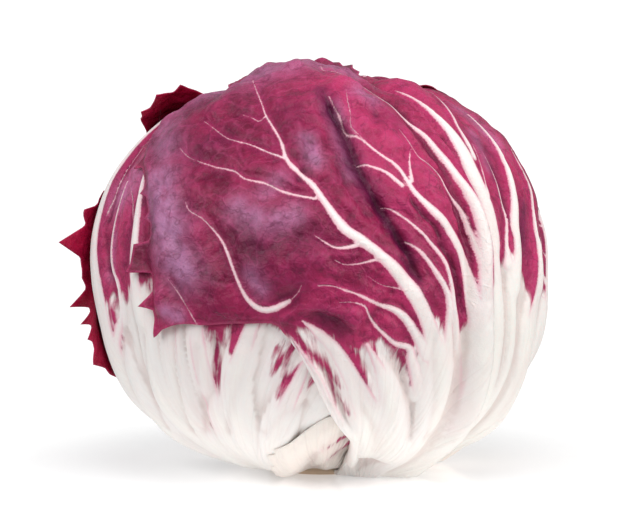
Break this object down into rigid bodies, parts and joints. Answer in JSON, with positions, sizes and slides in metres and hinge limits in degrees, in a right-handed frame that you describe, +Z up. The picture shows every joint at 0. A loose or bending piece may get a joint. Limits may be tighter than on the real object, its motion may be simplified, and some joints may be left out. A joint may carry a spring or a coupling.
{
  "type": "radicchio head",
  "caption": "Round head of red radicchio: wrapped, white-ribbed leaves closed over a heart, standing upright on the cut face of its short stem.",
  "frame": {"origin": "centre of the stem's cut face, which is the plane that the head stands on", "axes": "+Z up through the head, -Y the front with the large diagonal leaf, +X to the right seen from the front"},
  "size_m": [0.1358, 0.1276, 0.119],
  "materials": {
    "wrapper_leaf": "waxy satin, wine red between white ribs",
    "packed_leaf": "satin, paler red between white ribs",
    "leaf_stub": "satin, white with a few red marks",
    "stem": "matte cut stalk, browned at the rim"
  },
  "bodies": {
    "root": {"stem": "stem", "heart": "packed_leaf", "packed_leaf_01": "packed_leaf", "packed_leaf_02": "packed_leaf", "packed_leaf_03": "packed_leaf", "packed_leaf_04": "packed_leaf", "packed_leaf_05": "packed_leaf", "packed_leaf_06": "packed_leaf", "packed_leaf_07": "packed_leaf", "packed_leaf_08": "packed_leaf", "packed_leaf_09": "packed_leaf", "packed_leaf_10": "packed_leaf", "packed_leaf_11": "packed_leaf", "leaf_back": "wrapper_leaf", "leaf_far_right": "wrapper_leaf", "leaf_left": "wrapper_leaf", "leaf_right": "wrapper_leaf", "leaf_back_right": "wrapper_leaf", "leaf_left_back": "wrapper_leaf", "leaf_front": "wrapper_leaf", "stub_right": "leaf_stub", "stub_front": "leaf_stub"}
  },
  "joints": []
}
